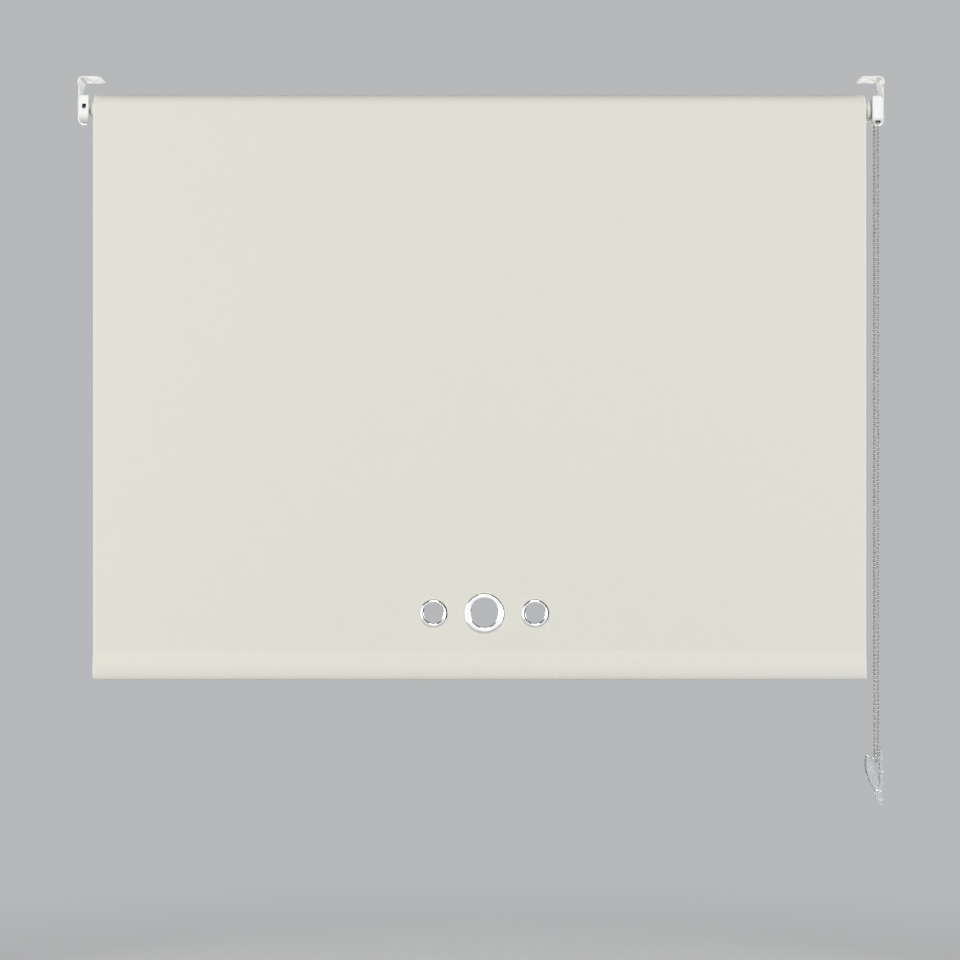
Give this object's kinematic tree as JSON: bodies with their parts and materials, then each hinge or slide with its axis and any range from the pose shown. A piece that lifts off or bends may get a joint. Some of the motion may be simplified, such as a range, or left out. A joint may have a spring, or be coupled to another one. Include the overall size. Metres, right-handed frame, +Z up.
{
  "type": "roller blind",
  "caption": "Chain-operated roller blind on top-fixed brackets, cream cloth hanging over the front of the roll, with metal eyelets above a weighted hem.",
  "frame": {"origin": "midway between the two brackets, on the plane that their top flanges are fixed to", "axes": "+X along the roller towards the chain, -Y towards the room (front), +Z up"},
  "size_m": [1.273, 0.0545, 1.151],
  "materials": {
    "bracket_paint": "satin white powder coat",
    "white_plastic": "semi-gloss moulded",
    "nylon": "natural nylon",
    "pale_plastic": "semi-gloss moulded",
    "wheel_plastic": "moulded acetal",
    "spring_steel": "bright drawn wire",
    "zinc_steel": "zinc plated",
    "tube_aluminium": "mill finish extrusion",
    "lath_aluminium": "mill finish extrusion",
    "tape": "double-sided adhesive tape",
    "blind_cloth": "cream woven blackout cloth, matt",
    "eyelet_metal": "polished chrome plate",
    "chain_nickel": "nickel plate",
    "clear_plastic": "clear polycarbonate"
  },
  "bodies": {
    "brackets": {"left_bracket": "bracket_paint", "left_cover": "white_plastic", "idle_socket": "nylon", "right_bracket": "bracket_paint", "control_housing": "white_plastic", "control_cover": "white_plastic", "control_spindle": "nylon", "wrap_springs": "spring_steel", "spindle_washer": "zinc_steel", "spindle_screw": "zinc_steel", "chain_over_wheel": "chain_nickel", "chain_front_strand": "chain_nickel", "chain_back_strand": "chain_nickel", "chain_bottom_loop": "chain_nickel", "chain_hook": "clear_plastic"},
    "roller": {"roller_tube": "tube_aluminium", "fixing_tape": "tape", "fabric_roll": "blind_cloth", "drive_crown": "pale_plastic", "chain_wheel": "wheel_plastic", "idle_plug": "pale_plastic", "idle_spring": "spring_steel"},
    "pin": {"idle_pin": "spring_steel"},
    "hem": {"fabric_drop": "blind_cloth", "fabric_hem": "blind_cloth", "hem_lath": "lath_aluminium", "lath_cap_left": "white_plastic", "lath_cap_right": "white_plastic", "eyelet_front_left": "eyelet_metal", "eyelet_back_left": "eyelet_metal", "eyelet_front_large": "eyelet_metal", "eyelet_back_large": "eyelet_metal", "eyelet_front_right": "eyelet_metal", "eyelet_back_right": "eyelet_metal"}
  },
  "joints": [
    {"name": "blind_travel", "type": "slide", "parent": "brackets", "child": "hem", "axis": [0, 0, 1], "range_m": [-1.2, 0.74], "deforming": ["fabric_drop"]},
    {"name": "roller_turn", "type": "hinge", "parent": "brackets", "child": "roller", "pos_m": [0, 0, -0.051], "axis": [-1, 0, 0], "range_deg": [-2760, 1700]},
    {"name": "idle_pin_press", "type": "slide", "parent": "roller", "child": "pin", "axis": [1, 0, 0], "range_m": [0, 0.018], "stiffness_N_per_m": 400, "springref_m": -0.008, "deforming": ["idle_spring"]}
  ],
  "couplings": [
    {"joint": "roller_turn", "follows": "blind_travel", "rad_per_m": 40}
  ]
}
